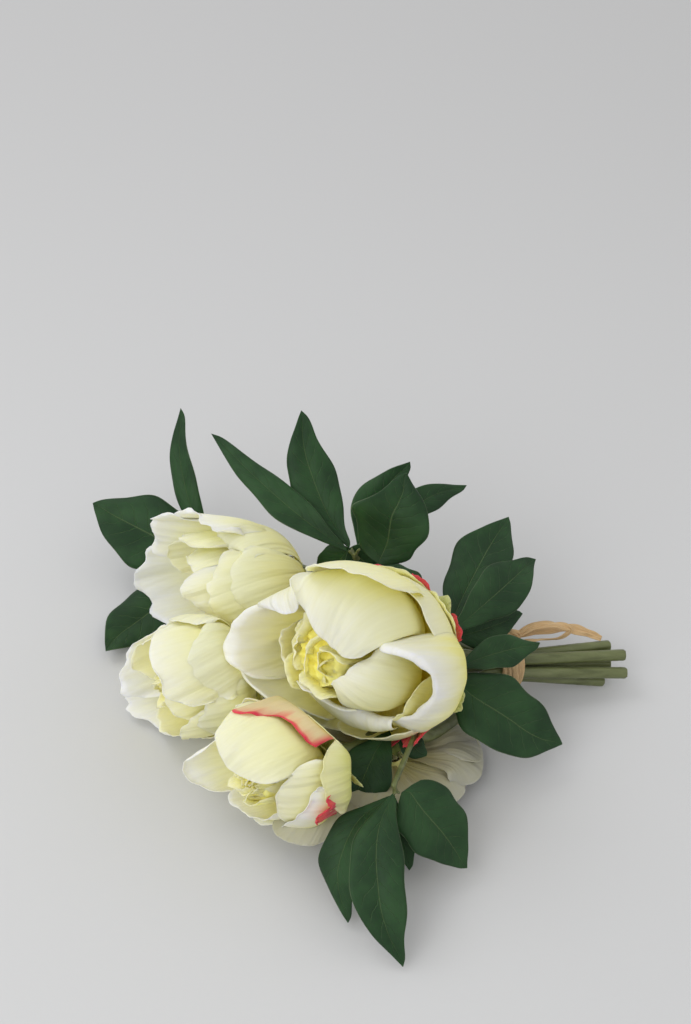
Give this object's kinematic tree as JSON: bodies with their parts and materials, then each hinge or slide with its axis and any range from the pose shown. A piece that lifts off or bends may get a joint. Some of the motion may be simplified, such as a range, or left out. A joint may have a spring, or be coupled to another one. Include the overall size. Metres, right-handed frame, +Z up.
{
  "type": "bunch of artificial peonies",
  "caption": "Bunch of cream peonies in silk with satin leaves, tied at the stems with raffia, lying on its side with the heads fanned out.",
  "frame": {"origin": "under the middle of the bunch, on the surface it lies on", "axes": "+Z up from that surface; +X towards the cut ends of the stems, so the flower heads are towards -X; +Y across the bunch, its widest way, towards the longest leaves"},
  "size_m": [0.2696, 0.289, 0.131],
  "materials": {
    "petal": "cream silk, yellower at the base, paler and slightly frayed at the edge, coral on the outermost petals",
    "heart": "tuft of small yellow silk petals and stamens",
    "calyx": "matt lime green sepals with a paler edge",
    "leaf": "dark green satin fabric with pressed veins and a thin pale cut edge",
    "stem": "satin olive green, paler at the cut ends",
    "raffia": "dry tan raffia strips with grain along them"
  },
  "bodies": {
    "root": {"flower_1_calyx": "calyx", "flower_1_heart": "heart", "flower_1_inner_petals": "petal", "flower_1_middle_petals": "petal", "flower_1_outer_petals": "petal", "flower_2_calyx": "calyx", "flower_2_heart": "heart", "flower_2_inner_petals": "petal", "flower_2_middle_petals": "petal", "flower_2_outer_petals": "petal", "flower_3_calyx": "calyx", "flower_3_heart": "heart", "flower_3_middle_petals": "petal", "flower_3_outer_petals": "petal", "flower_4_calyx": "calyx", "flower_4_heart": "heart", "flower_4_inner_petals": "petal", "flower_4_middle_petals": "petal", "flower_4_outer_petals": "petal", "flower_5_calyx": "calyx", "flower_5_heart": "heart", "flower_5_middle_petals": "petal", "flower_5_outer_petals": "petal", "leaf_a_leaflet_1": "leaf", "leaf_a_leaflet_2": "leaf", "leaf_a_leaflet_3": "leaf", "leaf_b_leaflet_1": "leaf", "leaf_b_leaflet_2": "leaf", "leaf_b_leaflet_3": "leaf", "leaf_b_leaflet_4": "leaf", "leaf_b_leaflet_5": "leaf", "leaf_b_leaflet_6": "leaf", "leaf_c_leaflet_1": "leaf", "leaf_c_leaflet_2": "leaf", "leaf_c_leaflet_3": "leaf", "leaf_d_leaflet_1": "leaf", "leaf_d_leaflet_2": "leaf", "leaf_e_leaflet_1": "leaf", "leaf_e_leaflet_2": "leaf", "leaf_e_leaflet_3": "leaf", "leaf_e_leaflet_4": "leaf", "leaf_f_leaflet_1": "leaf", "leaf_f_leaflet_2": "leaf", "raffia_knot": "raffia", "raffia_loop": "raffia", "raffia_tail": "raffia", "raffia_wrap": "raffia", "stem_1": "stem", "stem_2": "stem", "stem_3": "stem", "stem_4": "stem", "stem_5": "stem"}
  },
  "joints": []
}
